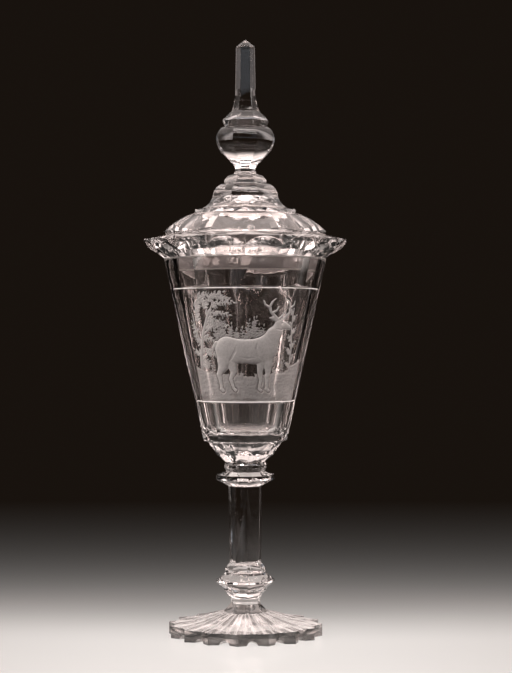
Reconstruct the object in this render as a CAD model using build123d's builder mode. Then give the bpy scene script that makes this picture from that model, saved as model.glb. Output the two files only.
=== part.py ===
from build123d import *
from math import atan2, cos, degrees, hypot, radians, sin, tan
from itertools import pairwise
import os

# A tall covered goblet of clear cut glass: petal foot, eight-sided stem, conical bowl with a raised
# front panel for engraving, and a loose domed cover with a sixteen-lobed brim and a faceted finial.
# Millimetres. +Z is up, the origin is the centre of the foot's resting face, and the goblet's front
# ridge lies on -Y.

# Cutting pattern
SIDES = 8               # facets round the stem, bowl and cover
LOBES = 16              # petals of the foot and lobes of the brim
COVER_TURN = -6.0       # how far the loose cover is turned on the rim, degrees

# Foot
FOOT_TIP_RADIUS = 58.3
FOOT_NOTCH_RADIUS = 52.0
FOOT_EDGE_HEIGHT = 9.2
FOOT_MITRE_SHARE = 0.83  # radius of the mitres' valleys as a share of the ridges beside them
FOOT_CROWN_HEIGHT = 12.2
FOOT_CROWN_RADIUS = 40.0
FOOT_COLLET_HEIGHT = 17.6
FOOT_COLLET_RADIUS = 20.5
FOOT_THROAT_HEIGHT = 24.2
FOOT_THROAT_RADIUS = 11.2
FOOT_HEIGHT = 28.0
FOOT_HOLLOW_RADIUS = 38.0
FOOT_HOLLOW_SLOPE = 9.0
FOOT_HOLLOW_DEPTH = 2.2
FOOT_ARCH_RADIUS = 4.2

# Lower knop, from its seat on the foot upwards
KNOP_SEAT_RADIUS = 10.8
KNOP_CUP_RADIUS = 16.4
KNOP_CUP_HEIGHT = 6.2
KNOP_CUP_BAND = 1.3
KNOP_RADIUS = 22.2
KNOP_BELT_HEIGHT = 12.2
KNOP_BELT_WIDTH = 1.7
KNOP_SHOULDER_RADIUS = 16.5
KNOP_SHOULDER_HEIGHT = 18.1
KNOP_BUTTON_RADIUS = 15.4
KNOP_BUTTON_HEIGHT = 19.6
KNOP_BUTTON_WIDTH = 3.1
KNOP_HEIGHT = 27.2

# Stem
STEM_FOOT_RADIUS = 11.8
STEM_HEAD_RADIUS = 12.9
STEM_LENGTH = 57.6

# Collar ring and bead under the bowl
COLLAR_RADIUS = 22.1
COLLAR_UNDERCUT = 4.7
COLLAR_BELT = 3.6
COLLAR_TOP_RADIUS = 16.0
COLLAR_HEIGHT = 10.8
BEAD_RADIUS = 16.1
BEAD_SEAT_RADIUS = 14.2
BEAD_BEVEL = 1.5
BEAD_BELT_HEIGHT = 3.3
BEAD_BELT_WIDTH = 1.8
BEAD_HEIGHT = 7.3

# Bowl
BOWL_HEIGHT = 153.7
BOWL_RIM_RADIUS = 61.7
BOWL_SHOULDER_RADIUS = 31.8
BOWL_SHOULDER_HEIGHT = 16.7
BOWL_SEAT_RADIUS = 14.9
CUP_LOWER_TIER_RADIUS = 21.8
CUP_LOWER_TIER_HEIGHT = 5.7
CUP_MIDDLE_TIER_RADIUS = 24.0
CUP_MIDDLE_TIER_HEIGHT = 9.5
CUP_UPPER_TIER_RADIUS = 27.9
CUP_UPPER_TIER_HEIGHT = 14.7
SHOULDER_UNDERCUT = 0.7
BOWL_RIM_WALL = 2.7     # thinnest glass at the rim, in the middle of a facet
BOWL_BASE_WALL = 5.2    # thinnest glass just above the cavity's floor
BOWL_FLOOR = 21.5       # solid glass from the bowl's seat to the cavity's floor
BOWL_FLOOR_ROUND = 9.0
PANEL_ARC = 135.0       # part of the bowl that the round front panel spans, degrees
PANEL_BOTTOM = 45.1     # above the bowl's seat
PANEL_TOP = 131.8
PANEL_PROUD = 1.3       # panel above the middle of the facets beside it

# Cover
BRIM_TIP_RADIUS = 77.4
BRIM_NOTCH_RADIUS = 72.2
SEAT_GAP = 0.1          # air between the two ground seats
BRIM_RISE = 13.4        # brim's sharp girdle above the cover's seat
BRIM_CROWN = 4.2        # brim's upper face, from the girdle up to the panels
SCOOP_DROP = 38.0       # level on the axis where the scoops under the brim all point, below the seat
SCOOP_SPREAD = 45.0     # half angle of the scoops' cones, degrees
SCOOP_LAND = 0.7        # glass left outside a scoop at the tip of a lobe
BELL_RISE = 18.7        # foot of the eight lower panels above the cover's seat
BELL_RADIUS = 60.4
BELL_SWELL = 1.7        # how far the lower panels belly out from a straight slope
LEDGE_RISE = 33.7
LEDGE_RADIUS = 37.6
LEDGE_WIDTH = 2.4
WAIST_RISE = 47.8
WAIST_RADIUS = 24.3
WAIST_SCOOP = 3.4       # how far the upper panels hollow in from a straight slope
DOME_RISE = 56.4
DOME_RADIUS = 15.9
DOME_SWELL = 1.8
FLANGE_DROP = 9.8
FLANGE_WALL = 4.6
FLANGE_CLEARANCE = 0.6  # between the flange and the inside of the bowl
HOLLOW_BELL_RISE = 15.0
HOLLOW_LEDGE_RISE = 26.5
HOLLOW_LEDGE_RADIUS = 34.0
HOLLOW_WAIST_RISE = 39.0
HOLLOW_WAIST_RADIUS = 24.0
HOLLOW_RISE = 45.5
HOLLOW_TOP_RADIUS = 11.0

# Finial
CAP_RADIUS = 15.9
CAP_BAND = 2.3
CAP_SHOULDER_RADIUS = 13.2
CAP_SHOULDER_HEIGHT = 5.6
CAP_HEIGHT = 7.3
NECK_RADIUS = 7.6
NECK_LIP_RADIUS = 8.7
NECK_HEIGHT = 6.7
BULB_RADIUS = 22.0
BULB_HEIGHT = 28.4
BULB_EQUATOR = 19.6     # widest level above the neck
BULB_SWELL_RADIUS = 18.6
BULB_SWELL_LEVEL = 11.0
BULB_TOP_RADIUS = 16.9
DISC_SEAT_RADIUS = 15.4
DISC_RADIUS = 17.3
DISC_LEVEL = 4.9
DISC_SLOPE_RADIUS = 14.3
DISC_SLOPE_LEVEL = 8.1
DISC_TOP_RADIUS = 10.6
DISC_HEIGHT = 12.1
SPIRE_SIDES = 6
SPIRE_FOOT_RADIUS = 10.8
SPIRE_FLARE_RADIUS = 7.6
SPIRE_FLARE_HEIGHT = 17.3
SPIRE_SHAFT_RADIUS = 7.1
SPIRE_SHAFT_HEIGHT = 49.3
SPIRE_TIP_RADIUS = 0.5
SPIRE_HEIGHT = 54.4

os.makedirs("parts", exist_ok=True)

# Levels of the seats, one piece on the next
foot_top = FOOT_HEIGHT
knop_top = foot_top + KNOP_HEIGHT
stem_top = knop_top + STEM_LENGTH
collar_top = stem_top + COLLAR_HEIGHT
bead_top = collar_top + BEAD_HEIGHT
rim = bead_top + BOWL_HEIGHT
cover_seat = rim + SEAT_GAP
dome_top = cover_seat + DOME_RISE
cap_top = dome_top + CAP_HEIGHT
bulb_top = cap_top + BULB_HEIGHT + NECK_HEIGHT
disc_top = bulb_top + DISC_HEIGHT

# The cover and its finial stand with a flat to the front, and are measured across their flats
facet_angle = 360 / SIDES
lobe_angle = 360 / LOBES
flat_share = cos(radians(facet_angle / 2))
spire_angle = 360 / SPIRE_SIDES
reach = 2 * BRIM_TIP_RADIUS     # longer than any piece is wide


def on_circle(radius, angle):
    return (radius * cos(radians(angle)), radius * sin(radians(angle)))


def arc_middle(start, end, bulge):
    """Middle point of an arc that bulges to the right of the way from its start to its end."""
    run = end[0] - start[0]
    rise = end[1] - start[1]
    chord = hypot(run, rise)
    across = (start[0] + end[0]) / 2 + bulge * rise / chord
    up = (start[1] + end[1]) / 2 - bulge * run / chord
    return (across, up)


def facet_outline(rings, seat):
    """Outline of a faceted piece seen along two of its flats, from the distances to its flats."""
    right = [(flat, seat + height) for height, flat in rings]
    return right + [(-flat, level) for flat, level in reversed(right)]


def petal_star(tip_radius, notch_radius, height=0.0):
    """Corners of a star with its notches on the goblet's ridges."""
    corners = []
    for petal in range(LOBES):
        for radius, turn in ((notch_radius, petal), (tip_radius, petal + 0.5)):
            x, y = on_circle(radius, turn * lobe_angle)
            corners.append((x, y, height))
    return corners


def flat_faced(rings):
    """Solid with flat facets from each ring of corners to the next one up."""
    faces = [Face(Wire.make_polygon(rings[0])), Face(Wire.make_polygon(rings[-1]))]
    for lower, upper in pairwise(rings):
        for first in range(len(lower)):
            after = (first + 1) % len(lower)
            corners = (lower[first], lower[after], upper[after], upper[first])
            faces.append(Face(Wire.make_polygon(corners)))
    return Solid(Shell(faces))


# Foot: sixteen ridged petals, each with two flats at its end, under an eight-sided throat
top_slope = (FOOT_CROWN_HEIGHT - FOOT_EDGE_HEIGHT) / (FOOT_TIP_RADIUS - FOOT_CROWN_RADIUS)
skirt_radius = FOOT_TIP_RADIUS / FOOT_MITRE_SHARE
skirt_height = FOOT_EDGE_HEIGHT - (skirt_radius - FOOT_TIP_RADIUS) * top_slope
mitre_rings = [
    (skirt_radius, 0),
    (skirt_radius, skirt_height),
    (FOOT_CROWN_RADIUS, FOOT_CROWN_HEIGHT),
    (FOOT_COLLET_RADIUS, FOOT_COLLET_HEIGHT),
]
throat_rings = [
    (FOOT_COLLET_HEIGHT, FOOT_COLLET_RADIUS * FOOT_MITRE_SHARE * flat_share),
    (FOOT_THROAT_HEIGHT, FOOT_THROAT_RADIUS * flat_share),
    (FOOT_HEIGHT, FOOT_THROAT_RADIUS * flat_share),
]
with BuildPart() as foot:
    # Throat between the petals and the stem
    for turn in range(SIDES // 2):
        with BuildSketch(Plane.XZ.rotated((0, 0, (turn + 0.5) * facet_angle))):
            with BuildLine():
                Polyline(*facet_outline(throat_rings, 0), close=True)
            make_face()
        extrude(amount=reach, both=True, mode=Mode.INTERSECT if turn else Mode.ADD)
    # Petals, with radial mitres over their tops
    add(flat_faced([petal_star(r, r * FOOT_MITRE_SHARE, height) for r, height in mitre_rings]))
    # Flats at the ends of the petals
    with BuildSketch():
        with BuildLine():
            Polyline(*petal_star(FOOT_TIP_RADIUS, FOOT_NOTCH_RADIUS), close=True)
        make_face()
    extrude(amount=FOOT_HEIGHT, mode=Mode.INTERSECT)
    # Shallow ground hollow underneath
    Cone(
        bottom_radius=FOOT_HOLLOW_RADIUS,
        top_radius=FOOT_HOLLOW_RADIUS - FOOT_HOLLOW_SLOPE,
        height=FOOT_HOLLOW_DEPTH,
        align=(Align.CENTER, Align.CENTER, Align.MIN),
        mode=Mode.SUBTRACT,
    )
    # Arches between the petals, that run out at the hollow
    arch_tilt = degrees(atan2(FOOT_ARCH_RADIUS, FOOT_TIP_RADIUS - FOOT_HOLLOW_RADIUS))
    with PolarLocations(FOOT_TIP_RADIUS, LOBES):
        Cylinder(
            radius=FOOT_ARCH_RADIUS,
            height=FOOT_TIP_RADIUS * 2,
            rotation=(0, 90 - arch_tilt, 0),
            mode=Mode.SUBTRACT,
        )

# Lower knop: a belted, eight-sided knop between a cup below and a button above
knop_rings = [
    (0, KNOP_SEAT_RADIUS * flat_share),
    (KNOP_CUP_HEIGHT, KNOP_CUP_RADIUS * flat_share),
    (KNOP_CUP_HEIGHT + KNOP_CUP_BAND, KNOP_CUP_RADIUS * flat_share),
    (KNOP_BELT_HEIGHT, KNOP_RADIUS * flat_share),
    (KNOP_BELT_HEIGHT + KNOP_BELT_WIDTH, KNOP_RADIUS * flat_share),
    (KNOP_SHOULDER_HEIGHT, KNOP_SHOULDER_RADIUS * flat_share),
    (KNOP_BUTTON_HEIGHT, KNOP_BUTTON_RADIUS * flat_share),
    (KNOP_BUTTON_HEIGHT + KNOP_BUTTON_WIDTH, KNOP_BUTTON_RADIUS * flat_share),
    (KNOP_HEIGHT, STEM_FOOT_RADIUS * flat_share),
]
with BuildPart() as lower_knop:
    for turn in range(SIDES // 2):
        with BuildSketch(Plane.XZ.rotated((0, 0, (turn + 0.5) * facet_angle))):
            with BuildLine():
                Polyline(*facet_outline(knop_rings, foot_top), close=True)
            make_face()
        extrude(amount=reach, both=True, mode=Mode.INTERSECT if turn else Mode.ADD)

# Stem: a slightly tapered eight-sided column
stem_rings = [
    (0, STEM_FOOT_RADIUS * flat_share),
    (STEM_LENGTH, STEM_HEAD_RADIUS * flat_share),
]
with BuildPart() as stem:
    for turn in range(SIDES // 2):
        with BuildSketch(Plane.XZ.rotated((0, 0, (turn + 0.5) * facet_angle))):
            with BuildLine():
                Polyline(*facet_outline(stem_rings, knop_top), close=True)
            make_face()
        extrude(amount=reach, both=True, mode=Mode.INTERSECT if turn else Mode.ADD)

# Collar ring under the bowl
collar_rings = [
    (0, STEM_HEAD_RADIUS * flat_share),
    (COLLAR_UNDERCUT, COLLAR_RADIUS * flat_share),
    (COLLAR_UNDERCUT + COLLAR_BELT, COLLAR_RADIUS * flat_share),
    (COLLAR_HEIGHT, COLLAR_TOP_RADIUS * flat_share),
]
with BuildPart() as stem_collar:
    for turn in range(SIDES // 2):
        with BuildSketch(Plane.XZ.rotated((0, 0, (turn + 0.5) * facet_angle))):
            with BuildLine():
                Polyline(*facet_outline(collar_rings, stem_top), close=True)
            make_face()
        extrude(amount=reach, both=True, mode=Mode.INTERSECT if turn else Mode.ADD)

# Bead between the collar and the bowl
bead_middle = (BEAD_SEAT_RADIUS + BEAD_RADIUS) / 2
bead_rings = [
    (0, BEAD_SEAT_RADIUS * flat_share),
    (BEAD_BEVEL, bead_middle * flat_share),
    (BEAD_BELT_HEIGHT, BEAD_RADIUS * flat_share),
    (BEAD_BELT_HEIGHT + BEAD_BELT_WIDTH, BEAD_RADIUS * flat_share),
    (BEAD_HEIGHT, BOWL_SEAT_RADIUS * flat_share),
]
with BuildPart() as bowl_bead:
    for turn in range(SIDES // 2):
        with BuildSketch(Plane.XZ.rotated((0, 0, (turn + 0.5) * facet_angle))):
            with BuildLine():
                Polyline(*facet_outline(bead_rings, collar_top), close=True)
            make_face()
        extrude(amount=reach, both=True, mode=Mode.INTERSECT if turn else Mode.ADD)

# Bowl: tiered cup, sharp shoulder, straight conical wall
cup_rings = [
    (0, BOWL_SEAT_RADIUS * flat_share),
    (CUP_LOWER_TIER_HEIGHT, CUP_LOWER_TIER_RADIUS * flat_share),
    (CUP_MIDDLE_TIER_HEIGHT, CUP_MIDDLE_TIER_RADIUS * flat_share),
    (CUP_UPPER_TIER_HEIGHT, CUP_UPPER_TIER_RADIUS * flat_share),
    (BOWL_SHOULDER_HEIGHT - SHOULDER_UNDERCUT, (BOWL_SHOULDER_RADIUS - SHOULDER_UNDERCUT) * flat_share),
    (BOWL_SHOULDER_HEIGHT, BOWL_SHOULDER_RADIUS * flat_share),
    (BOWL_HEIGHT, BOWL_RIM_RADIUS * flat_share),
]
wall_slope = (BOWL_RIM_RADIUS - BOWL_SHOULDER_RADIUS) / (BOWL_HEIGHT - BOWL_SHOULDER_HEIGHT)


def ridge_radius(height):
    """Corner radius of the bowl at a height above its seat."""
    return BOWL_SHOULDER_RADIUS + (height - BOWL_SHOULDER_HEIGHT) * wall_slope


def panel_radius(height):
    """Radius of the round front panel at a height above the bowl's seat."""
    return ridge_radius(height) * flat_share + PANEL_PROUD


cavity_rim_radius = BOWL_RIM_RADIUS * flat_share - BOWL_RIM_WALL
cavity_floor_radius = ridge_radius(BOWL_FLOOR) * flat_share - BOWL_BASE_WALL
cavity_slope = (cavity_rim_radius - cavity_floor_radius) / (BOWL_HEIGHT - BOWL_FLOOR)
panel_start = Plane.XZ.rotated((0, 0, -90 - PANEL_ARC / 2))
with BuildPart() as bowl:
    for turn in range(SIDES // 2):
        with BuildSketch(Plane.XZ.rotated((0, 0, (turn + 0.5) * facet_angle))):
            with BuildLine():
                Polyline(*facet_outline(cup_rings, bead_top), close=True)
            make_face()
        extrude(amount=reach, both=True, mode=Mode.INTERSECT if turn else Mode.ADD)
    # Front panel ground round, standing proud of the facets it replaces
    with BuildSketch(panel_start):
        with Locations((0, bead_top + PANEL_BOTTOM)):
            Rectangle(reach, PANEL_TOP - PANEL_BOTTOM, align=(Align.MIN, Align.MIN))
    revolve(axis=Axis.Z, revolution_arc=PANEL_ARC, mode=Mode.SUBTRACT)
    with BuildSketch(panel_start):
        with BuildLine():
            Polyline(
                (0, bead_top + PANEL_BOTTOM),
                (panel_radius(PANEL_BOTTOM), bead_top + PANEL_BOTTOM),
                (panel_radius(PANEL_TOP), bead_top + PANEL_TOP),
                (0, bead_top + PANEL_TOP),
                close=True,
            )
        make_face()
    revolve(axis=Axis.Z, revolution_arc=PANEL_ARC)
    # Cavity with a rounded floor
    with BuildSketch(Plane.XZ):
        with BuildLine():
            Polyline(
                (0, rim),
                (0, bead_top + BOWL_FLOOR),
                (cavity_floor_radius, bead_top + BOWL_FLOOR),
                (cavity_rim_radius, rim),
                close=True,
            )
        make_face()
        floor_corner = vertices().group_by(Axis.Y)[0].sort_by(Axis.X)[-1]
        fillet(floor_corner, radius=BOWL_FLOOR_ROUND)
    revolve(axis=Axis.Z, mode=Mode.SUBTRACT)

# Cover: two stacked bells of curved panels on a scalloped, scooped brim
girdle = cover_seat + BRIM_RISE
bell_foot = cover_seat + BELL_RISE
ledge = cover_seat + LEDGE_RISE
waist = cover_seat + WAIST_RISE
bell_start = (BELL_RADIUS, bell_foot)
bell_end = (LEDGE_RADIUS, ledge)
waist_start = (LEDGE_RADIUS, ledge + LEDGE_WIDTH)
waist_end = (WAIST_RADIUS, waist)
dome_end = (DOME_RADIUS, dome_top)
scoop_edge_radius = BRIM_TIP_RADIUS + SCOOP_LAND
scoop_tilt = degrees(atan2(SCOOP_DROP + BRIM_RISE, scoop_edge_radius)) - SCOOP_SPREAD
flange_top_radius = cavity_rim_radius - FLANGE_CLEARANCE
flange_bottom_radius = flange_top_radius - FLANGE_DROP * cavity_slope
hollow_radius = flange_bottom_radius - FLANGE_WALL
with BuildPart() as cover:
    # Each pair of opposite panels is one extruded profile, and the bells are what they share
    for turn in range(SIDES // 2):
        with BuildSketch(Plane.XZ.rotated((0, 0, COVER_TURN + turn * facet_angle))):
            with BuildLine():
                Line((0, bell_foot), bell_start)
                ThreePointArc(bell_start, arc_middle(bell_start, bell_end, BELL_SWELL), bell_end)
                Line(bell_end, waist_start)
                ThreePointArc(waist_start, arc_middle(waist_start, waist_end, -WAIST_SCOOP), waist_end)
                ThreePointArc(waist_end, arc_middle(waist_end, dome_end, DOME_SWELL), dome_end)
                Polyline(dome_end, (0, dome_top), (0, bell_foot))
            make_face()
            mirror(about=Plane.YZ)
        extrude(amount=reach, both=True, mode=Mode.INTERSECT if turn else Mode.ADD)
    # Brim, before its underside is scooped out
    with BuildSketch(Plane.XZ):
        with BuildLine():
            Polyline(
                (0, cover_seat),
                (scoop_edge_radius, cover_seat),
                (scoop_edge_radius, girdle),
                (BELL_RADIUS, girdle + BRIM_CROWN),
                (BELL_RADIUS, bell_foot),
                (0, bell_foot),
                close=True,
            )
        make_face()
    revolve(axis=Axis.Z)
    # Lobed outline
    with BuildSketch(Plane.XY.offset(cover_seat)):
        with BuildLine():
            for lobe in range(LOBES):
                start = COVER_TURN - 90 + lobe * lobe_angle
                ThreePointArc(
                    on_circle(BRIM_NOTCH_RADIUS, start),
                    on_circle(BRIM_TIP_RADIUS, start + lobe_angle / 2),
                    on_circle(BRIM_NOTCH_RADIUS, start + lobe_angle),
                )
        make_face()
    extrude(amount=DOME_RISE, mode=Mode.INTERSECT)
    # Sixteen round scoops under the brim, one to a lobe, that meet in sharp ridges at the notches
    for lobe in range(LOBES):
        facing = COVER_TURN - 90 + (lobe + 0.5) * lobe_angle
        with Locations(Location((0, 0, cover_seat - SCOOP_DROP), (0, 0, facing))):
            Cone(
                bottom_radius=0,
                top_radius=reach * tan(radians(SCOOP_SPREAD)),
                height=reach,
                rotation=(0, 90 - scoop_tilt, 0),
                align=(Align.CENTER, Align.CENTER, Align.MIN),
                mode=Mode.SUBTRACT,
            )
    # Flange that keeps the cover centred in the bowl
    with BuildSketch(Plane.XZ):
        with BuildLine():
            Polyline(
                (0, cover_seat + BRIM_RISE / 2),
                (flange_top_radius, cover_seat + BRIM_RISE / 2),
                (flange_top_radius, cover_seat),
                (flange_bottom_radius, cover_seat - FLANGE_DROP),
                (0, cover_seat - FLANGE_DROP),
                close=True,
            )
        make_face()
    revolve(axis=Axis.Z)
    # Hollow inside, narrowing in steps under the two bells
    with BuildSketch(Plane.XZ):
        with BuildLine():
            Polyline(
                (0, cover_seat - FLANGE_DROP),
                (hollow_radius, cover_seat - FLANGE_DROP),
                (hollow_radius, cover_seat + HOLLOW_BELL_RISE),
                (HOLLOW_LEDGE_RADIUS, cover_seat + HOLLOW_LEDGE_RISE),
                (HOLLOW_WAIST_RADIUS, cover_seat + HOLLOW_WAIST_RISE),
                (HOLLOW_TOP_RADIUS, cover_seat + HOLLOW_RISE),
                (0, cover_seat + HOLLOW_RISE),
                close=True,
            )
        make_face()
    revolve(axis=Axis.Z, mode=Mode.SUBTRACT)

# Cap: a stepped button on the dome
cap_rings = [
    (0, CAP_RADIUS),
    (CAP_BAND, CAP_RADIUS),
    (CAP_SHOULDER_HEIGHT, CAP_SHOULDER_RADIUS),
    (CAP_HEIGHT, NECK_LIP_RADIUS),
]
with BuildPart() as cover_cap:
    for turn in range(SIDES // 2):
        with BuildSketch(Plane.XZ.rotated((0, 0, COVER_TURN + turn * facet_angle))):
            with BuildLine():
                Polyline(*facet_outline(cap_rings, dome_top), close=True)
            make_face()
        extrude(amount=reach, both=True, mode=Mode.INTERSECT if turn else Mode.ADD)

# Bulb: a ball of eight curved panels on a short waisted neck
bulb_seat = cap_top + NECK_HEIGHT
with BuildPart() as finial_bulb:
    for turn in range(SIDES // 2):
        with BuildSketch(Plane.XZ.rotated((0, 0, COVER_TURN + turn * facet_angle))):
            with BuildLine():
                Line((0, cap_top), (NECK_LIP_RADIUS, cap_top))
                ThreePointArc(
                    (NECK_LIP_RADIUS, cap_top),
                    (NECK_RADIUS, cap_top + NECK_HEIGHT / 2),
                    (NECK_LIP_RADIUS, bulb_seat),
                )
                Line(
                    (NECK_LIP_RADIUS, bulb_seat),
                    (BULB_SWELL_RADIUS, bulb_seat + BULB_SWELL_LEVEL),
                )
                ThreePointArc(
                    (BULB_SWELL_RADIUS, bulb_seat + BULB_SWELL_LEVEL),
                    (BULB_RADIUS, bulb_seat + BULB_EQUATOR),
                    (BULB_TOP_RADIUS, bulb_top),
                )
                Line((BULB_TOP_RADIUS, bulb_top), (0, bulb_top))
                Line((0, bulb_top), (0, cap_top))
            make_face()
            mirror(about=Plane.YZ)
        extrude(amount=reach, both=True, mode=Mode.INTERSECT if turn else Mode.ADD)

# Finial disc: a lens-shaped collar between the bulb and the spire
disc_rings = [
    (0, DISC_SEAT_RADIUS),
    (DISC_LEVEL, DISC_RADIUS),
    (DISC_SLOPE_LEVEL, DISC_SLOPE_RADIUS),
    (DISC_HEIGHT, DISC_TOP_RADIUS),
]
with BuildPart() as finial_disc:
    for turn in range(SIDES // 2):
        with BuildSketch(Plane.XZ.rotated((0, 0, COVER_TURN + turn * facet_angle))):
            with BuildLine():
                Polyline(*facet_outline(disc_rings, bulb_top), close=True)
            make_face()
        extrude(amount=reach, both=True, mode=Mode.INTERSECT if turn else Mode.ADD)

# Spire: a six-sided shaft with a flared foot and a low pointed tip
spire_share = cos(radians(spire_angle / 2))
spire_flare = (SPIRE_FLARE_RADIUS * spire_share, disc_top + SPIRE_FLARE_HEIGHT)
with BuildPart() as finial_spire:
    for turn in range(SPIRE_SIDES // 2):
        with BuildSketch(Plane.XZ.rotated((0, 0, COVER_TURN + (turn + 0.5) * spire_angle))):
            with BuildLine():
                TangentArc(spire_flare, (SPIRE_FOOT_RADIUS * spire_share, disc_top), tangent=(0, -1))
                Polyline(
                    (SPIRE_FOOT_RADIUS * spire_share, disc_top),
                    (0, disc_top),
                    (0, disc_top + SPIRE_HEIGHT),
                    (SPIRE_TIP_RADIUS * spire_share, disc_top + SPIRE_HEIGHT),
                    (SPIRE_SHAFT_RADIUS * spire_share, disc_top + SPIRE_SHAFT_HEIGHT),
                    spire_flare,
                )
            make_face()
            mirror(about=Plane.YZ)
        extrude(amount=reach, both=True, mode=Mode.INTERSECT if turn else Mode.ADD)

pieces = {
    "foot": foot,
    "lower_knop": lower_knop,
    "stem": stem,
    "stem_collar": stem_collar,
    "bowl_bead": bowl_bead,
    "bowl": bowl,
    "cover": cover,
    "cover_cap": cover_cap,
    "finial_bulb": finial_bulb,
    "finial_disc": finial_disc,
    "finial_spire": finial_spire,
}
for name, piece in pieces.items():
    piece.part.label = name
    export_step(piece.part, f"parts/{name}.step")
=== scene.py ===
import math
import random

import bpy
import numpy as np
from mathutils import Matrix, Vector


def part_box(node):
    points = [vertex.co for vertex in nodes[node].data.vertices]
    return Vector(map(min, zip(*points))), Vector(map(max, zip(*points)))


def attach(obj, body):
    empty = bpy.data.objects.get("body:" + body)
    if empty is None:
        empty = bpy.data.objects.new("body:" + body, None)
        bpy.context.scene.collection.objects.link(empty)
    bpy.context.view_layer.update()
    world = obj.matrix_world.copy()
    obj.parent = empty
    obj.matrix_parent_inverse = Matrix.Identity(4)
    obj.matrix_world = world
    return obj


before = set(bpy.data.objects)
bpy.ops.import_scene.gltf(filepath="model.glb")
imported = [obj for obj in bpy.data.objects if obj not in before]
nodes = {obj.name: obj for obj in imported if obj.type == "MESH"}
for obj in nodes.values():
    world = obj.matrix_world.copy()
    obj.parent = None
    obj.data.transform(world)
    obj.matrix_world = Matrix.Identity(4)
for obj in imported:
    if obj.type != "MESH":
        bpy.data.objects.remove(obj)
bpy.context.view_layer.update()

# A covered goblet of clear cut glass on a pale table in a dark room, in soft light from its sides,
# from above and from behind the camera. Metres. Its axis is Z, and its engraved panel faces -Y.

MM = 0.001

# Table and room; a pool of light is painted on the table, in its colour and as a glow
ROOM_COLOUR = (0.0092, 0.0063, 0.0045)
TABLE_COLOUR = (0.83, 0.80, 0.775)
TABLE_SIZE = 12.0
TABLE_GAP = 0.2 * MM
POOL_START = 0.04       # the pool of light falls off to the back from this far before the axis,
POOL_FRONT = -0.2       # and towards the camera from here
POOL_FRONT_FALL = 2.0
POOL_RADIUS = 0.165
POOL_STRETCH = 2.6
POOL_FLOOR = 0.018      # share of the pool's tail that is lost in the dark
TABLE_SHINE = 0.2       # gloss of the table near the goblet
SHINE_SHARE = 0.6
SHINE_START = 0.08
SHINE_END = 0.34
TABLE_ROUGHNESS = 0.13
TABLE_LIT = 0.3         # share of the table's tone that the lamps give, and the goblet can shade; the rest is painted glow
LIT_FROM = 0.3          # tone of the pool from which that share is whole
LAMP_LEVEL = 1.25       # light on the table from the lamps

# Camera
VIEW_TURN = -96.0
VIEW_DISTANCE = 1.447
VIEW_HEIGHT = 0.226
FOCAL_PIXELS = 1912.0
IMAGE_WIDTH, IMAGE_HEIGHT = 512, 673
SENSOR = 36.0
AXIS_PIXEL = 245.4
HORIZON_PIXEL = 336.0

# Soft light round the room. Degrees: turn from the view, height, half width, half height and
# soft edge. Then strength and colour.
WARM = (1.0, 0.885, 0.85)
COOL = (0.78, 0.88, 1.0)
SOFT_LIGHTS = [
    (-92, 20, 36, 34, 18, 0.4, WARM),
    (94, 20, 36, 34, 18, 0.4, WARM),
    (180, 47, 80, 20, 8, 1.1, WARM),
    (-85, 28, 9, 31, 8, 4.8, WARM),
    (97, 28, 9, 31, 8, 4.8, WARM),
    (0, 90, 200, 32, 14, 2.0, WARM),
    (0, 44, 34, 2.5, 2, 9.0, WARM),
    (0, 58, 40, 3, 2, 10.0, WARM),
    (0, 74, 60, 4, 2, 12.0, WARM),
    (0, 8, 20, 6, 4, 0.55, COOL),
]
KEY_TURN = -32.0
KEY_HEIGHT = 1.15
KEY_DISTANCE = 0.95
KEY_SIZE = 0.12
KEY_POWER = 2.0

# Glass
GLASS_COLOUR = (0.985, 0.935, 0.920)
GLASS_INDEX = 1.52
GLASS_ROUGHNESS = 0.02
WAVE_SCALE = 60.0
WAVE_STRENGTH = 0.05
WAVE_HEIGHT = 2.0 * MM
DIMPLE_SCALE = 210.0
DIMPLES = 0.5           # unevenness of the cutting,
CUP_DIMPLES = 7.0       # and more of it on the cup under the bowl
CUP_LOW = 0.118
CUP_HIGH = 0.1585
EDGE_WIDTH = 0.35 * MM
EDGE_ANGLE = 18.0
WELD_REACH = 0.002 * MM
JOINT_DEPTH = 0.03 * MM
JOINT_LEAN = 0.98       # how far a face lies level, from 0 upright to 1
LEVEL_LEAN = 0.3
UPRIGHT_LEAN = 0.35

# Foot: a softer polish below, painted shade darkening the ends of its petals, and painted light on
# top as pale rays
UNDERSIDE = 3.2 * MM
UNDERSIDE_ROUGHNESS = 0.13
FOOT_ENDS = 0.0505
PAINTED_SHADE_ENDS_COLOUR = (0.13, 0.12, 0.113)
FOOT_RAYS = 48
RAYS_START = 0.016
PAINTED_LIGHT_VEIL = 0.1
PAINTED_RAY_LIGHT = 0.28

# Ground glass: shares that are matt where the cover fits the bowl
GROUND_COLOUR = (0.97, 0.94, 0.925)
GROUND_ROUGHNESS = 0.6
VEIL_COLOUR = (0.5, 0.475, 0.475)
VEIL_MATCH = 0.01
GROUND_VEIL = 0.6
FLANGE_INSIDE = 0.0475
LIP_BAND = 1.1 * MM
LIP_GROUND = 0.95
SEAT_BAND = 0.3 * MM
SEAT_GROUND = 0.75
RIM_OUTSIDE = 0.0617
HOLLOW_BAND = 10.0 * MM
HOLLOW_VEIL = 0.4

# Matt engraving
MATT_DARK = (0.30, 0.28, 0.275)
MATT_PALE = (1.0, 0.97, 0.95)
MATT_ROUGHNESS = 0.7
MATT_LEVEL = 0.9        # tone with no grain in it,
MATT_GRAIN = 0.2        # and what the grain adds
MATT_SHARE = 0.45       # share that is matt where the tone is black,
MATT_RISE = 0.7         # and what the tone adds
GRAIN_SCALE = 900.0
GRAIN_STRENGTH = 0.25
GRAIN_HEIGHT = 0.3 * MM

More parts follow.
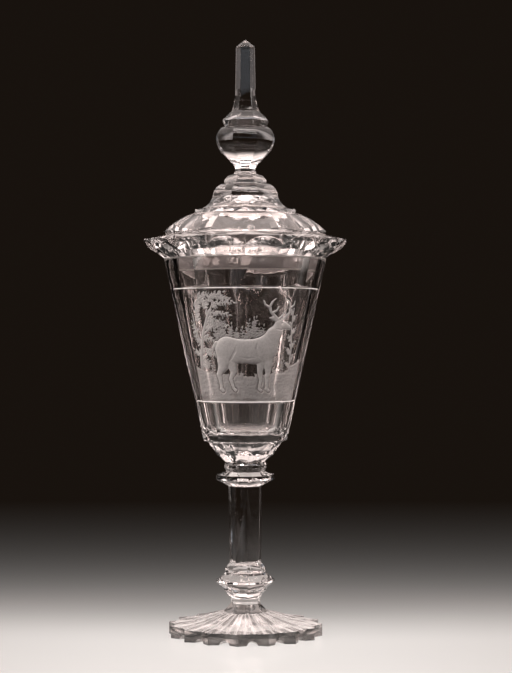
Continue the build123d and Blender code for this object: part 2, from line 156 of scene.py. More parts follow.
# Front panel that carries it
PANEL_LOW = 0.1765
PANEL_HIGH = 0.2622
PANEL_LOW_RADIUS = 0.03629
PANEL_HIGH_RADIUS = 0.05377
PANEL_HALF_ANGLE = 65.5

# Drawing, in millimetres round and up the panel from the middle of its lower edge
PANEL_TALL = (PANEL_HIGH - PANEL_LOW) / MM
PANEL_PROUD = 1.3       # the panel's radius less the facets' beside it
FACET_MIDDLE = 67.5     # degrees from the panel's middle, where the facet beside it starts to show
DRAWING_STEP = 0.36
DRAWING_LIFT = 0.06
DRAWING_DEPTH = 0.6
DRAWING_EMPTY = -3.0    # height of the grid where nothing is drawn
FULL_HEIGHT = 4.0       # height from which a cut has its whole depth
PANEL_MARGIN = 0.1
PULL_REACH = 2.0        # corners this near an outline are pulled onto it, by no more than a share
PULL_LIMIT = 0.95       # of the grid's step
NOISE_CELLS = 64
LINE_WIDTH = 0.8
LINE_STEP = 1.5
LINE_HALF_ANGLE = 84.0
LINE_TONE = 1.0

# Painted light on the engraving: its whiteness is painted as if lit from above on the left, with
# painted highlights along the rims
SLOPE_ACROSS = 0.5
SLOPE_UP = 0.85
SLOPE_LIMIT = 1.3
SLOPE_SHARE = 0.24
RIM_HIGHLIGHT_WIDTH = 0.4
RIM_HIGHLIGHT_SHARE = 0.16
SPECKLE_SIZE = 0.8
SPECKLE_SHARE = 0.05
DARKEST = 0.05

# The stag as it is placed: size, place, and from where its legs are shorter and its head lower
STAG_SIZE = 1.12
STAG_ACROSS = -0.7
STAG_UP = 8
STAG_BELLY = 24
LEG_SHARE = 0.9
LEG_LOSS = 2.4
NECK_START = 40
NECK_LENGTH = 6
HEAD_DROP = 3.5


def unit(angle):
    """Level direction at an angle in degrees from +X."""
    return Vector((math.cos(math.radians(angle)), math.sin(math.radians(angle)), 0))


class Value:
    """A shader socket that Python's operators turn into maths nodes."""

    def __init__(self, finish, socket):
        self.finish = finish
        self.socket = socket

    def math(self, operation, *others):
        return self.finish.math(operation, self, *others)

    def __add__(self, other):
        return self.math("ADD", other)

    def __sub__(self, other):
        return self.math("SUBTRACT", other)

    def __rsub__(self, other):
        return self.finish.math("SUBTRACT", other, self)

    def __mul__(self, other):
        return self.math("MULTIPLY", other)

    def __truediv__(self, other):
        return self.math("DIVIDE", other)

    def __rtruediv__(self, other):
        return self.finish.math("DIVIDE", other, self)

    def __pow__(self, other):
        return self.math("POWER", other)

    def __gt__(self, other):
        return self.math("GREATER_THAN", other)

    def __lt__(self, other):
        return self.math("LESS_THAN", other)

    def __abs__(self):
        return self.math("ABSOLUTE")


class Finish:
    """A material or world, put together node by node."""

    def __init__(self, owner):
        owner.use_nodes = True
        self.owner = owner
        self.tree = owner.node_tree
        self.tree.nodes.clear()

    def node(self, kind, settings=None, inputs=None, output=0):
        made = self.tree.nodes.new(kind)
        for name, setting in (settings or {}).items():
            setattr(made, name, setting)
        for name, value in (inputs or {}).items():
            if isinstance(value, Value):
                self.tree.links.new(value.socket, made.inputs[name])
            else:
                made.inputs[name].default_value = value
        if not made.outputs:
            return None
        return Value(self, made.outputs[output])

    def math(self, operation, *values):
        return self.node("ShaderNodeMath", {"operation": operation}, dict(enumerate(values)))

    def blend(self, factor, first, second):
        """Colour mix."""
        inputs = {0: factor, 6: first, 7: second}
        return self.node("ShaderNodeMix", {"data_type": "RGBA"}, inputs, output=2)

    def layer(self, share, under, over):
        """Shader mix."""
        return self.node("ShaderNodeMixShader", None, {0: share, 1: under, 2: over})

    def noise(self, place, scale, detail):
        inputs = {"Vector": place, "Scale": scale, "Detail": detail}
        return self.node("ShaderNodeTexNoise", None, inputs)

    def bump(self, height, strength, distance):
        inputs = {"Height": height, "Strength": strength, "Distance": distance}
        return self.node("ShaderNodeBump", None, inputs)

    def fade(self, angle, half, edge):
        """One inside a half angle in degrees, fading to nothing over a soft edge."""
        return self.node("ShaderNodeMapRange", {"interpolation_type": "SMOOTHSTEP"}, {
            "Value": angle,
            "From Min": math.radians(half + edge),
            "From Max": math.radians(half - edge),
        })

    def split(self, vector):
        return [self.node("ShaderNodeSeparateXYZ", None, {0: vector}, output=i) for i in range(3)]


def solid(colour):
    """A colour with its alpha."""
    return tuple(colour) + (1,)


def mesh_object(name, vertices, faces):
    mesh = bpy.data.meshes.new(name)
    mesh.from_pydata(vertices, [], faces)
    mesh.update()
    mesh.shade_smooth()
    piece = bpy.data.objects.new(name, mesh)
    bpy.context.scene.collection.objects.link(piece)
    return piece


def pale_table():
    """A pale sheet with a painted pool of light and glow, its colour falling away into the dark
    behind the goblet.
    """
    finish = Finish(bpy.data.materials.new("pale_table"))
    turn = finish.node("ShaderNodeVectorRotate", {"rotation_type": "Z_AXIS"}, {
        "Vector": finish.node("ShaderNodeNewGeometry"),
        "Angle": math.radians(-VIEW_TURN - 90),
    })
    across, back, _ = finish.split(turn)
    before = (POOL_FRONT - back).math("MAXIMUM", 0.0) * POOL_FRONT_FALL
    beyond = (back + POOL_START).math("MAXIMUM", 0.0) + before
    away = ((across / POOL_STRETCH) ** 2 + beyond**2) / POOL_RADIUS**2
    painted_pool = 1.0 / (away + 1.0)
    painted_pool = ((painted_pool - POOL_FLOOR) / (1 - POOL_FLOOR)).math("MAXIMUM", 0.0)
    colour = finish.blend(painted_pool, solid(ROOM_COLOUR), solid(TABLE_COLOUR))
    seen = finish.node("ShaderNodeLightPath", output="Is Camera Ray")
    seen = seen + finish.node("ShaderNodeLightPath", output="Is Glossy Ray")
    seen = seen + finish.node("ShaderNodeLightPath", output="Is Transmission Ray")
    seen = seen.math("MINIMUM", 1.0)
    dark = (0, 0, 0, 1)
    lit = (painted_pool / LIT_FROM).math("MINIMUM", 1.0) * TABLE_LIT
    # The lamps light only a share of the table's tone; the rest is a painted glow seen by camera,
    # glossy and transmission rays, which the goblet can't shade.
    sheets = [
        finish.node("ShaderNodeBsdfPrincipled", None, {
            "Base Color": finish.blend(lit / LAMP_LEVEL, dark, colour),
            "Roughness": TABLE_ROUGHNESS,
            "Specular IOR Level": shine,
            "Emission Color": finish.blend(seen * (1.0 - lit), dark, colour),
            "Emission Strength": 1.0,
        })
        for shine in (0.0, TABLE_SHINE)
    ]
    near = finish.node("ShaderNodeMapRange", {"interpolation_type": "SMOOTHSTEP"}, {
        "Value": (across**2 + back**2).math("SQRT"),
        "From Min": SHINE_END,
        "From Max": SHINE_START,
    })
    finish.node("ShaderNodeOutputMaterial", None, {0: finish.layer(near * SHINE_SHARE, *sheets)})
    half = TABLE_SIZE / 2
    corners = [(-half, -half, 0), (half, -half, 0), (half, half, 0), (-half, half, 0)]
    table = mesh_object("table", corners, [(0, 1, 2, 3)])
    table.location.z = -TABLE_GAP
    table.data.materials.append(finish.owner)


def dark_room():
    """A dark room with soft light from its sides, its ceiling and behind the camera."""
    world = bpy.data.worlds.new("dark_room")
    bpy.context.scene.world = world
    finish = Finish(world)
    towards = finish.node("ShaderNodeTexCoord")
    colour = solid(ROOM_COLOUR)
    for turn, rise, half_width, half_height, edge, strength, tint in SOFT_LIGHTS:
        local = finish.node("ShaderNodeVectorRotate", {"rotation_type": "Z_AXIS"}, {
            "Vector": towards,
            "Angle": math.radians(-VIEW_TURN - turn),
        })
        x, y, z = finish.split(local)
        aside = abs(y.math("ARCTAN2", x))
        above = abs(z.math("ARCSINE") - math.radians(rise))
        glow = finish.fade(aside, half_width, edge) * finish.fade(above, half_height, edge)
        colour = finish.blend(glow, colour, solid(strength * part for part in tint))
    hidden = finish.node("ShaderNodeLightPath", output="Is Camera Ray")
    colour = finish.blend(hidden, colour, solid(ROOM_COLOUR))
    light = finish.node("ShaderNodeBackground", None, {"Color": colour, "Strength": 1.0})
    finish.node("ShaderNodeOutputWorld", None, {0: light})


def key_lamp():
    """A small lamp in front and above, for the sparkle on the cut edges."""
    lamp = bpy.data.lights.new("key_lamp", "AREA")
    lamp.size = KEY_SIZE
    lamp.energy = KEY_POWER
    box = bpy.data.objects.new("key_lamp", lamp)
    box.location = unit(VIEW_TURN + KEY_TURN) * KEY_DISTANCE + Vector((0, 0, KEY_HEIGHT))
    box.rotation_euler = (-box.location).to_track_quat("-Z", "Y").to_euler()
    box.visible_camera = False
    bpy.context.scene.collection.objects.link(box)


def camera():
    """The camera, level, with its frame shifted up or down to the photographed horizon."""
    data = bpy.data.cameras.new("camera")
    data.sensor_width = SENSOR
    data.lens = FOCAL_PIXELS * SENSOR / IMAGE_HEIGHT
    data.shift_y = (HORIZON_PIXEL - IMAGE_HEIGHT / 2) / IMAGE_HEIGHT
    eye = bpy.data.objects.new("camera", data)
    outward = unit(VIEW_TURN)
    right = unit(VIEW_TURN + 90)
    aside = (IMAGE_WIDTH / 2 - AXIS_PIXEL) / FOCAL_PIXELS * VIEW_DISTANCE
    eye.location = outward * VIEW_DISTANCE + right * aside + Vector((0, 0, VIEW_HEIGHT))
    eye.rotation_euler = (-outward).to_track_quat("-Z", "Y").to_euler()
    bpy.context.scene.collection.objects.link(eye)
    bpy.context.scene.camera = eye


def joint_mask(finish):
    """One on the hidden faces where two gathers of glass were fused, which can't be seen in it."""
    place = finish.node("ShaderNodeTexCoord", output="Object")
    facing = finish.node("ShaderNodeTexCoord", output="Normal")
    x, y, z = finish.split(place)
    reach = (x**2 + y**2).math("SQRT")
    level_face = abs(finish.split(facing)[2]) > JOINT_LEAN
    mask = None
    for level, radius in fused_joints():
        here = (abs(z - level) < JOINT_DEPTH) * (reach < radius)
        mask = here if mask is None else mask + here
    return (mask * level_face).math("MINIMUM", 1.0)


def fused_joints():
    """Level and radius of each face that two neighbouring nodes share."""
    stacks = [
        ["foot", "lower_knop", "stem", "stem_collar", "bowl_bead", "bowl"],
        ["cover", "cover_cap", "finial_bulb", "finial_disc", "finial_spire"],
    ]
    joints = []
    for stack in stacks:
        for below, above in zip(stack, stack[1:]):
            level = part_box(above)[0].z
            joints.append((level, min(reach_at(below, level), reach_at(above, level))))
    return joints


def reach_at(node, level):
    """Largest radius of a node's corners at a level."""
    corners = [v.co for v in nodes[node].data.vertices if abs(v.co.z - level) < JOINT_DEPTH]
    return max(math.hypot(corner.x, corner.y) for corner in corners) + JOINT_DEPTH


def cut_glass(name, ground_part=None, on_foot=False):
    """Clear polished glass, ground matt over a part of it; the foot has a softer polish below,
    painted shade on its petals' ends and painted light as pale rays on top.
    """
    finish = Finish(bpy.data.materials.new(name))
    place = finish.node("ShaderNodeTexCoord", output="Object")
    x, y, z = finish.split(place)
    reach = (x**2 + y**2).math("SQRT")
    colour, roughness, amount = solid(GLASS_COLOUR), GLASS_ROUGHNESS, None
    if on_foot:
        lean = abs(finish.split(finish.node("ShaderNodeTexCoord", output="Normal"))[2])
        level = lean > LEVEL_LEAN
        below = (z < UNDERSIDE) * level
        ends = (lean < UPRIGHT_LEAN) * (reach > FOOT_ENDS)
        roughness = below * UNDERSIDE_ROUGHNESS + GLASS_ROUGHNESS
        # Painted shade: the upright ends of the petals are darkened in colour
        colour = finish.blend(ends, colour, solid(PAINTED_SHADE_ENDS_COLOUR))
        # Painted light: pale matt rays over a pale veil on the tops of the petals
        painted_ray = ((y.math("ARCTAN2", x) * FOOT_RAYS).math("SINE") * 0.5 + 0.5) ** 2
        amount = (1.0 - below) * level * (reach > RAYS_START) * (painted_ray * PAINTED_RAY_LIGHT + PAINTED_LIGHT_VEIL)
    elif ground_part:
        amount = ground_part(reach, z)
    rough_cut = (z > CUP_LOW) * (z < CUP_HIGH) * CUP_DIMPLES + DIMPLES
    height = finish.noise(place, WAVE_SCALE, 1.0)
    height = height + finish.noise(place, DIMPLE_SCALE, 0.0) * rough_cut
    surface = finish.node("ShaderNodeBsdfPrincipled", None, {
        "Base Color": colour,
        "Roughness": roughness,
        "IOR": GLASS_INDEX,
        "Transmission Weight": 1.0,
        "Normal": finish.bump(height, WAVE_STRENGTH, WAVE_HEIGHT),
    })
    if amount is not None:
        veiled = abs(amount - GROUND_VEIL) < VEIL_MATCH
        ground = finish.node("ShaderNodeBsdfPrincipled", None, {
            "Base Color": finish.blend(veiled, solid(GROUND_COLOUR), solid(VEIL_COLOUR)),
            "Roughness": GROUND_ROUGHNESS,
            "IOR": GLASS_INDEX,
        })
        surface = finish.layer(amount, surface, ground)
    clear = finish.node("ShaderNodeBsdfTransparent")
    surface = finish.layer(joint_mask(finish), surface, clear)
    finish.node("ShaderNodeOutputMaterial", None, {0: surface})
    return finish.owner


def cover_fit(reach, z):
    """The flange, its lower lip, the seat under the brim and the hollow's foot, ground to fit."""
    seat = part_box("bowl")[1].z
    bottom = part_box("cover")[0].z
    outside = reach > FLANGE_INSIDE
    veil = (z < seat) * outside * GROUND_VEIL
    lip = (z < bottom + LIP_BAND) * outside * LIP_GROUND
    ring = (abs(z - seat) < SEAT_BAND) * (reach < RIM_OUTSIDE) * outside * SEAT_GROUND
    inside = (z > seat) * (z < seat + HOLLOW_BAND) * (reach < FLANGE_INSIDE + MM)
    return veil.math("MAXIMUM", lip).math("MAXIMUM", ring).math("MAXIMUM", inside * HOLLOW_VEIL)


def rim_seat(reach, z):
    """The bowl's rim is ground flat."""
    return (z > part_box("bowl")[1].z - SEAT_BAND) * SEAT_GROUND


def matt_glass():
    """Wheel-engraved matt surface with grain; its whiteness, read from the 'cut' attribute, holds
    painted light and painted highlights along the edges.
    """
    finish = Finish(bpy.data.materials.new("matt_engraving"))
    # The 'cut' attribute is each corner's whiteness, with its painted light and shade
    cut = finish.node("ShaderNodeAttribute", {"attribute_name": "cut"}, output="Fac")
    place = finish.node("ShaderNodeTexCoord", output="Object")
    grain = finish.noise(place, GRAIN_SCALE, 3.0)
    tone = (cut * (grain * MATT_GRAIN + MATT_LEVEL)).math("MINIMUM", 1.0)
    ground = finish.node("ShaderNodeBsdfPrincipled", None, {
        "Base Color": finish.blend(tone, solid(MATT_DARK), solid(MATT_PALE)),
        "Roughness": MATT_ROUGHNESS,
        "IOR": GLASS_INDEX,
        "Normal": finish.bump(grain, GRAIN_STRENGTH, GRAIN_HEIGHT),
    })
    clear = finish.node("ShaderNodeBsdfTransparent")
    share = (tone * MATT_RISE + MATT_SHARE).math("MINIMUM", 1.0)
    finish.node("ShaderNodeOutputMaterial", None, {0: finish.layer(share, clear, ground)})
    return finish.owner


# Engraving: soft shapes drawn as heights over a grid on the panel

def panel_radius(up):
    """Radius of the panel, in millimetres, at a height above its lower edge."""
    return (PANEL_LOW_RADIUS + (PANEL_HIGH_RADIUS - PANEL_LOW_RADIUS) * up / PANEL_TALL) / MM


class Drawing:
    """Soft shapes as heights over a grid on the panel. Below zero, nothing is drawn."""

    def __init__(self):
        wide = math.radians(PANEL_HALF_ANGLE) * PANEL_HIGH_RADIUS / MM
        self.ups = np.linspace(0, PANEL_TALL, int(PANEL_TALL / DRAWING_STEP))
        self.acrosses = np.linspace(-wide, wide, int(2 * wide / DRAWING_STEP))
        self.across, self.up = np.meshgrid(self.acrosses, self.ups)
        self.height = np.full(self.across.shape, DRAWING_EMPTY)

    def stroke(self, points, bulge=1.0, softness=0.0):
        """Rounded stroke through points given as (across, up, half width)."""
        for (x0, y0, r0), (x1, y1, r1) in zip(points, points[1:]):
            reach = max(r0, r1) - DRAWING_EMPTY
            sides = (min(x0, x1) - reach, max(x0, x1) + reach)
            ends = (min(y0, y1) - reach, max(y0, y1) + reach)
            columns = slice(*np.searchsorted(self.acrosses, sides))
            rows = slice(*np.searchsorted(self.ups, ends))
            across, up = self.across[rows, columns], self.up[rows, columns]
            run, rise = x1 - x0, y1 - y0
            along = ((across - x0) * run + (up - y0) * rise) / (run * run + rise * rise)
            along = np.clip(along, 0, 1)
            away = np.hypot(across - x0 - run * along, up - y0 - rise * along)
            width = r0 + (r1 - r0) * along
            rounded = np.sqrt(np.maximum(width**2 - away**2, 0)) * bulge
            drawn = np.where(away < width, rounded, width - away)
            here = self.height[rows, columns]
            if softness:
                mix = np.clip(0.5 + 0.5 * (drawn - here) / softness, 0, 1)
                here[:] = here * (1 - mix) + drawn * mix + softness * mix * (1 - mix)
            else:
                np.maximum(here, drawn, out=here)

    def groove(self, points, depth):
        """Line cut into what is drawn already, through points given as (across, up, half width)."""
        line = Drawing()
        line.stroke(points)
        cut = np.maximum(self.height - np.maximum(line.height, 0) * depth, 0.05)
        self.height = np.where(self.height > 0, cut, self.height)

    def behind(self, front, gap):
        """Leaves out what another drawing covers, with a clear outline round it."""
        self.height = np.minimum(self.height, -front.height - gap)


def value_noise(across, up, scale, seed):
    """Smooth noise between -1 and 1."""
    cells = np.random.default_rng(seed).uniform(-1, 1, (NOISE_CELLS, NOISE_CELLS))
    x, y = across / scale + 20, up / scale + 7
    column, row = np.floor(x).astype(int), np.floor(y).astype(int)
    right, above = x - column, y - row
    left_cell, right_cell = column % NOISE_CELLS, (column + 1) % NOISE_CELLS
    right = right * right * (3 - 2 * right)
    above = above * above * (3 - 2 * above)

    def along(row):
        cell = row % NOISE_CELLS
        return cells[cell, left_cell] * (1 - right) + cells[cell, right_cell] * right

    return along(row) * (1 - above) + along(row + 1) * above


def stag():
    """A standing stag, seen from its side."""
    drawing = Drawing()

    def placed(points):
        """Points in the drawing, with the legs shortened and the head lowered a little."""
        for x, y, r in points:
            lowered = HEAD_DROP * min(max((y - NECK_START) / NECK_LENGTH, 0), 1)
            level = y * LEG_SHARE if y < STAG_BELLY else y - LEG_LOSS - lowered
            yield (STAG_ACROSS + x * STAG_SIZE, STAG_UP + level * STAG_SIZE, r * STAG_SIZE)

    def part(points, bulge=1.0, softness=0.0):
        drawing.stroke(list(placed(points)), bulge, softness)

    def crease(points, depth):
        drawing.groove(list(placed(points)), depth)

    # Far legs, then body, neck and head, near legs
    part([(7.5, 24, 3.2), (6.6, 15, 1.8), (7.4, 8.5, 1.2), (6.2, 2.4, 0.9), (7.8, 1.2, 1.1)], 0.6)
    far_hind = [(-12.5, 22, 3.4), (-10.6, 15, 2.0), (-12.6, 9.6, 1.3), (-10.4, 2.8, 0.9)]
    part(far_hind + [(-9.0, 1.4, 1.1)], 0.6)
    part([(-16, 31.2, 7.8), (-8, 29.4, 7.6), (3, 29.2, 8.0), (10.5, 31.2, 8.2)], 0.55, 1.5)
    part([(-16.5, 30, 7.4), (-17.4, 24, 4.8)], 0.6, 2.0)
    part([(11.5, 33, 7.0), (16.0, 40, 5.2), (18.6, 46.6, 3.7), (19.6, 50.2, 3.3)], 0.6, 2.5)
    part([(20.2, 50.4, 3.1), (24, 49.8, 2.3), (28.2, 48.4, 1.6)], 0.8, 1.0)
    part([(11.4, 28, 5.6), (12.4, 20.5, 2.9), (12.2, 13.0, 1.6)], 0.7, 1.5)
    near_fore = [(12.2, 13.0, 1.6), (11.6, 11.6, 1.7), (11.7, 4.2, 1.1), (11.4, 2.4, 1.3)]
    part(near_fore + [(12.9, 0.9, 1.2)], 0.9, 0.4)
    part([(-17.4, 24, 4.8), (-18.2, 18.4, 3.2), (-21.0, 13.0, 1.8)], 0.7, 1.5)
    near_hind = [(-21.0, 13.0, 1.8), (-20.2, 10.4, 1.5), (-18.9, 4.0, 1.1), (-19.0, 2.4, 1.3)]
    part(near_hind + [(-17.6, 0.9, 1.2)], 0.9, 0.4)
    # Mane, ears and tail
    for index in range(7):
        share = index / 6
        root = (17.0 - 3 * share, 45 - 13 * share, 1.2)
        part([root, (20.6 - 1.5 * share, 42 - 13 * share, 0.5)], 0.8)
    part([(18.4, 52.4, 0.9), (15.2, 54.6, 1.4), (12.4, 54.8, 0.25)], 1.0)
    part([(-23.4, 34.6, 1.5), (-25.4, 31.5, 1.3), (-25.8, 28.6, 0.3)], 1.0)
    # Antlers
    for tine in (
        [(19.4, 53, 0.95), (16.8, 55.6, 0.9), (13.6, 58.4, 0.85), (12.6, 62.0, 0.8),
         (14.2, 65.2, 0.65), (16.8, 67.4, 0.3)],
        [(21.4, 53, 0.9), (24.4, 55.4, 0.85), (27.6, 58.2, 0.8), (28.6, 61.8, 0.7),
         (27.2, 65.2, 0.55), (24.8, 67.2, 0.3)],
        [(18.8, 53.8, 0.8), (21.6, 56.0, 0.65), (23.4, 58.6, 0.3)],
        [(14.2, 57.8, 0.8), (17.6, 59.6, 0.6), (19.2, 62.4, 0.3)],
        [(12.6, 61.6, 0.75), (9.4, 63.4, 0.55), (8.2, 66.2, 0.3)],
        [(25.0, 56.0, 0.75), (23.6, 59.4, 0.3)],
        [(28.6, 61.4, 0.7), (31.6, 63.2, 0.5), (32.4, 66.0, 0.3)],
    ):
        part(tine, 1.3)
    # Shoulder, haunch, flank, jaw and eye
    crease([(4.6, 35.4, 0.3), (3.8, 31.0, 0.9), (5.6, 26.2, 0.9), (8.0, 23.4, 0.3)], 0.9)
    crease([(-9.4, 33.0, 0.3), (-10.2, 29.0, 0.9), (-12.4, 24.8, 0.9), (-13.8, 22.4, 0.3)], 0.9)
    crease([(-7.0, 25.6, 0.3), (-1.5, 24.6, 0.7), (3.6, 25.2, 0.3)], 0.8)
    crease([(17.6, 47.6, 0.3), (21.4, 46.9, 0.55), (24.0, 47.4, 0.3)], 2.0)
    crease([(21.6, 51.3, 0.5), (22.0, 51.3, 0.5)], 3.0)
    crease([(26.2, 47.8, 0.3), (28.6, 47.4, 0.4)], 2.0)
    return drawing


def leaf(drawing, x, y, heading, size, bulge=1.0):
    """A pointed leaf."""
    across, up = math.cos(heading) * size, math.sin(heading) * size
    widest = (x + across * 0.42, y + up * 0.42, 0.2 * size)
    drawing.stroke([(x, y, 0.12), widest, (x + across, y + up, 0.05)], bulge)


def branch(drawing, dice, x, y, heading, length, size, droop=10.0):
    """A branch with pointed leaves on both sides, bending down towards its tip."""
    points = []
    steps = max(4, int(length / 1.9))
    for step in range(steps):
        share = step / steps
        angle = math.radians(heading - droop * share + dice.uniform(-5, 5))
        points.append((x, y, 0.5 - 0.35 * share))
        for side in (-1, 1):
            lean = angle + side * math.radians(dice.uniform(35, 70))
            long = size * (1.15 - 0.55 * share) * dice.uniform(0.75, 1.2)
            leaf(drawing, x, y, lean, long, dice.uniform(0.6, 1.4))
        x += math.cos(angle) * length / steps
        y += math.sin(angle) * length / steps
    leaf(drawing, x, y, angle, size * 0.8)
    drawing.stroke(points, 1.3)


def trees():
    """A leafy tree down the left side and a slender one down the right."""
    drawing = Drawing()
    dice = random.Random(11)
    trunk = [(-41, 0, 2.8), (-39.5, 16, 2.0), (-41, 34, 1.6), (-39, 50, 1.3)]
    drawing.stroke(trunk + [(-35, 63, 0.9), (-30, 74, 0.5)], 0.9)
    for limb in (
        [(-40, 42, 1.0), (-46, 52, 0.8), (-50, 66, 0.5)],
        [(-40.5, 30, 0.9), (-34, 37, 0.6), (-29, 40, 0.35)],
        [(-39, 50, 0.9), (-31, 56, 0.6), (-24, 58, 0.35)],
    ):
        drawing.stroke(limb, 1.0)
    for x, y, heading, length in (
        (-31, 72, 18, 17), (-33, 76, 40, 12), (-36, 66, 8, 19), (-38, 70, 62, 14),
        (-34, 62, -8, 18), (-38, 56, 4, 16), (-44, 60, 96, 15), (-46, 66, 70, 14),
        (-48, 72, 30, 12), (-44, 78, 20, 12), (-38, 48, -4, 15), (-30, 57, 14, 11),
        (-40, 40, -14, 14), (-34, 37, 10, 11), (-41, 44, 150, 10), (-40, 33, -24, 11),
        (-42, 36, 165, 8), (-45, 52, 140, 9), (-40, 26, 20, 9), (-28, 78, 0, 12),
    ):
        branch(drawing, dice, x, y, heading, length, 3.6, 26.0)
    slender = [(33.0, 2, 1.3), (32.2, 20, 0.9), (34.0, 40, 0.75), (33.2, 56, 0.6), (35.0, 70, 0.35)]
    drawing.stroke(slender, 1.1)
    for index, y in enumerate(range(26, 70, 5)):
        side = 1 if index % 2 else -1
        x = 32.8 + 0.03 * (y - 26)
        branch(drawing, dice, x, y, 90 - side * 42, 8.5 - 0.06 * y, 2.6, side * 14)
    return drawing


def shrubs():
    """Leafy growth behind the stag."""
    drawing = Drawing()
    dice = random.Random(23)
    for index in range(13):
        x = -26 + index * 2.9
        tall = 58 + 4.5 * math.sin(index * 0.8 + 0.4) + dice.uniform(-2, 2)
        branch(drawing, dice, x, tall - 15, dice.uniform(74, 106), 14, 3.2)
    bushes = ((22, 14, 15), (27, 12, 20), (38, 12, 17), (42, 14, 12), (-33, 14, 12), (-28, 12, 14))
    for x, y, tall in bushes:
        branch(drawing, dice, x, y, dice.uniform(78, 100), tall, 3.2)
        branch(drawing, dice, x, y, dice.uniform(50, 70), tall * 0.7, 2.8)
        branch(drawing, dice, x, y, dice.uniform(110, 130), tall * 0.7, 2.8)
    return drawing


def crest(across):
    """Height of the meadow's upper edge."""
    return 19.5 + 0.004 * (across + 4) ** 2


def meadow():
    """Rolling matt ground with tufts of grass along its upper edge."""
    drawing = Drawing()
    across, up = drawing.across, drawing.up
    edge = crest(across) + value_noise(across, 0 * up, 13, 8) * 2.0
    edge = edge + value_noise(across, 0 * up, 1.2, 9) * 0.6
    drawing.height = np.minimum((edge - up) * 0.6, 0.9)
    dice = random.Random(31)
    for _ in range(90):
        x = dice.uniform(-50, 50)
        y = dice.uniform(5, crest(x))
        for lean in (-1.4, -0.5, 0.6, 1.5):
            tip = y + dice.uniform(3.0, 4.6) - abs(lean) * 0.6
            blade = [(x + lean * 0.2, y - 1.5, 0.5), (x + lean * 0.6, y + 1.2, 0.4)]
            drawing.stroke(blade + [(x + lean * 1.3, tip, 0.1)], 2.6)
    rolls = value_noise(across, up * 3.2, 9, 10) * 0.35
    rolls = rolls + value_noise(across, up * 2.6, 3, 12) * 0.2
    drawing.height = np.where(drawing.height > 0.3, drawing.height + rolls, drawing.height)
    return drawing


def tone_with_painted_light(drawing, tone):
    """How white the matt surface is: painted light and shade from its slopes, painted highlights
    along its rims, and speckle.
    """
    slope_up, slope_across = np.gradient(drawing.height, drawing.ups, drawing.acrosses)
    shade = SLOPE_ACROSS * slope_across - SLOPE_UP * slope_up
    shade = np.clip(shade, -SLOPE_LIMIT, SLOPE_LIMIT)
    painted_rim_highlight = np.exp(-np.clip(drawing.height, 0, 9) / RIM_HIGHLIGHT_WIDTH)
    speckle = value_noise(drawing.across, drawing.up, SPECKLE_SIZE, 3)
    white = tone + SLOPE_SHARE * shade + RIM_HIGHLIGHT_SHARE * painted_rim_highlight + SPECKLE_SHARE * speckle
    return np.clip(white, DARKEST, 1)


def surface_radius(angle, up):
    """Radius of the bowl's outside, in millimetres, at an angle from the middle of the panel."""
    panel = panel_radius(up)
    if abs(angle) < FACET_MIDDLE:
        return panel
    return (panel - PANEL_PROUD) / math.cos(math.radians(abs(angle) - FACET_MIDDLE))


def ground_line(name, up):
    """A thin bright line ground along the panel's edge and on over the facets beside it."""
    points, faces = [], []
    angles = np.arange(-LINE_HALF_ANGLE, LINE_HALF_ANGLE + LINE_STEP / 3, LINE_STEP)
    for angle in angles:
        turn = math.radians(angle)
        for level, proud in ((up - LINE_WIDTH / 2, LINE_WIDTH), (up + LINE_WIDTH / 2, 0)):
            radius = surface_radius(angle, level) + DRAWING_LIFT + proud
            x, y = radius * math.sin(turn), -radius * math.cos(turn)
            points.append((x * MM, y * MM, level * MM + PANEL_LOW))
    for index in range(len(angles) - 1):
        first = 2 * index
        faces.append((first, first + 2, first + 3, first + 1))
    finish_piece(mesh_object(name, points, faces), np.full(len(points), LINE_TONE))


def finish_piece(piece, tone_and_painted_light):
    """Gives a piece its matt finish, with a whiteness for each corner that may hold painted light,
    and its body.
    """
    cut = piece.data.attributes.new("cut", "FLOAT", "POINT")
    cut.data.foreach_set("value", tone_and_painted_light.astype(np.float32))
    piece.data.materials.append(matt)
    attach(piece, "goblet")


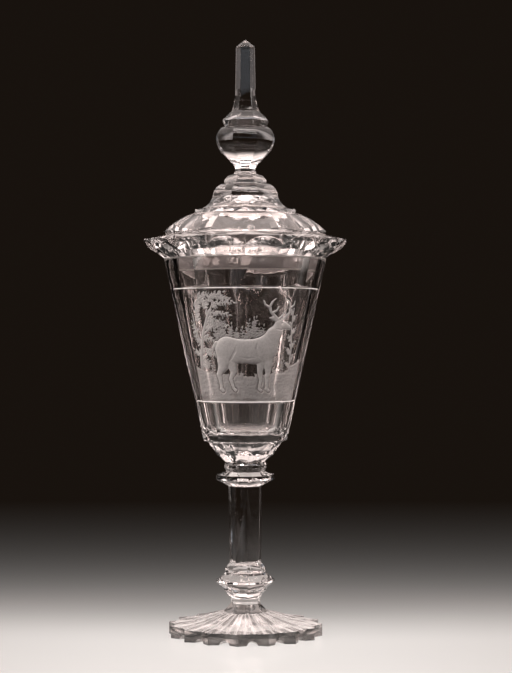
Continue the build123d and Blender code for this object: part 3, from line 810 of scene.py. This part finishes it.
def engrave(name, drawing, depth, tone):
    """A thin matt piece on the panel, wherever a drawing stands above nothing."""
    across, up = drawing.across, drawing.up
    edge = math.radians(PANEL_HALF_ANGLE) * panel_radius(up) - np.abs(across)
    drawing.height = np.minimum(drawing.height, edge - PANEL_MARGIN)
    height = drawing.height
    slope_up, slope_across = np.gradient(height, drawing.ups, drawing.acrosses)
    steep = slope_up**2 + slope_across**2 + 1e-6
    inside = height > 0
    keep = inside[:-1, :-1] | inside[1:, :-1] | inside[:-1, 1:] | inside[1:, 1:]
    outside = (height < 0) & (height > -PULL_REACH)
    limit = DRAWING_STEP * PULL_LIMIT
    shift_x = np.clip(-height * slope_across / steep, -limit, limit) * outside
    shift_y = np.clip(-height * slope_up / steep, -limit, limit) * outside
    px, py = across + shift_x, np.clip(up + shift_y, 0, drawing.ups[-1])
    thick = DRAWING_LIFT + np.sqrt(np.clip(height, 0, FULL_HEIGHT) / FULL_HEIGHT) * depth
    tone_and_painted_light = tone_with_painted_light(drawing, tone)
    numbers = -np.ones(across.shape, int)
    used = np.zeros(across.shape, bool)
    used[:-1, :-1] |= keep
    used[1:, :-1] |= keep
    used[:-1, 1:] |= keep
    used[1:, 1:] |= keep
    numbers[used] = np.arange(used.sum())
    radius = panel_radius(py) + thick
    angle = px / panel_radius(py)
    points = np.stack([radius * np.sin(angle), -radius * np.cos(angle), py], axis=-1)[used] * MM
    points[:, 2] += PANEL_LOW
    row, column = np.nonzero(keep)
    corners = ((row, column), (row, column + 1), (row + 1, column + 1), (row + 1, column))
    faces = np.stack([numbers[corner] for corner in corners], axis=-1)
    finish_piece(mesh_object(name, points.tolist(), faces.tolist()), tone_and_painted_light[used])


dark_room()
pale_table()
key_lamp()
camera()
glass = cut_glass("cut_glass")
fitted = {
    "cover": cut_glass("cover_glass", cover_fit),
    "bowl": cut_glass("bowl_glass", rim_seat),
    "foot": cut_glass("foot_glass", on_foot=True),
}
matt = matt_glass()
for name, node in nodes.items():
    node.data.materials.clear()
    node.data.materials.append(fitted.get(name, glass))
    weld = node.modifiers.new("weld", "WELD")
    weld.merge_threshold = WELD_REACH
    bevel = node.modifiers.new("polished_edges", "BEVEL")
    bevel.width = EDGE_WIDTH
    bevel.segments = 2
    bevel.limit_method = "ANGLE"
    bevel.angle_limit = math.radians(EDGE_ANGLE)
    bevel.harden_normals = True
deer, ground, thicket, wood = stag(), meadow(), shrubs(), trees()
ground.behind(deer, 0.3)
thicket.behind(deer, 0.3)
thicket.behind(ground, 0.1)
wood.behind(deer, 0.4)
wood.behind(ground, 0.1)
wood.behind(thicket, 0.2)
engrave("engraved_stag", deer, depth=DRAWING_DEPTH, tone=0.55)
engrave("engraved_meadow", ground, depth=DRAWING_DEPTH * 0.5, tone=0.38)
engrave("engraved_shrubs", thicket, depth=DRAWING_DEPTH * 0.5, tone=0.36)
engrave("engraved_trees", wood, depth=DRAWING_DEPTH * 0.6, tone=0.50)
ground_line("upper_line", PANEL_TALL - LINE_WIDTH)
ground_line("lower_line", LINE_WIDTH)

bpy.context.scene.view_settings.view_transform = "Standard"
